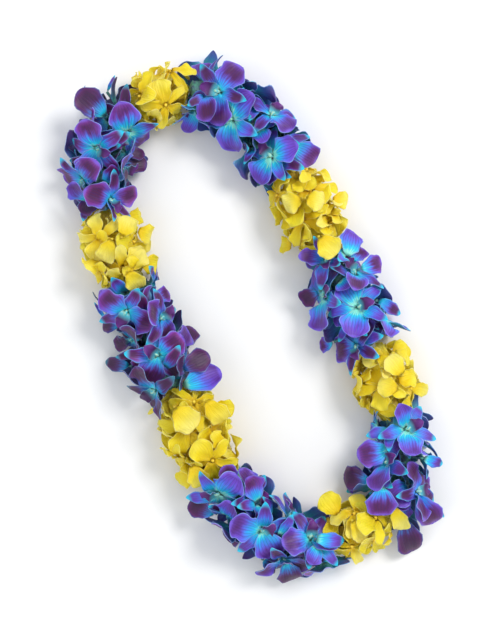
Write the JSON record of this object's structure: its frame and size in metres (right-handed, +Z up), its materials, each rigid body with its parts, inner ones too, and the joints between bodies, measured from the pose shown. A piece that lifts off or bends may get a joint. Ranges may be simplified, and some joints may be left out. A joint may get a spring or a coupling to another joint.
{
  "type": "orchid lei",
  "caption": "Fresh orchid lei laid in a long open loop: open blooms threaded closely on a knotted cotton string, in alternating bands of blue-violet and yellow.",
  "frame": {"origin": "on the table, under the middle of the loop that the string makes", "axes": "+Z up from the table that the lei lies on; +Y along the loop's longer axis; +X across it, to the right as seen from above"},
  "size_m": [0.2472, 0.4783, 0.063],
  "materials": {
    "blue_petals": "soft satin petals, violet with blue and cyan margins and dark wine-coloured throats",
    "yellow_petals": "soft satin petals, clear yellow with ochre throats and pale margins",
    "cotton_string": "matt twisted cotton"
  },
  "bodies": {
    "root": {"yellow_orchids_1": "yellow_petals", "blue_orchids_1": "blue_petals", "yellow_orchids_2": "yellow_petals", "blue_orchids_2": "blue_petals", "yellow_orchids_3": "yellow_petals", "blue_orchids_3": "blue_petals", "yellow_orchids_4": "yellow_petals", "blue_orchids_4": "blue_petals", "yellow_orchids_5": "yellow_petals", "blue_orchids_5": "blue_petals", "yellow_orchids_6": "yellow_petals", "blue_orchids_6": "blue_petals", "string": "cotton_string"}
  },
  "joints": []
}
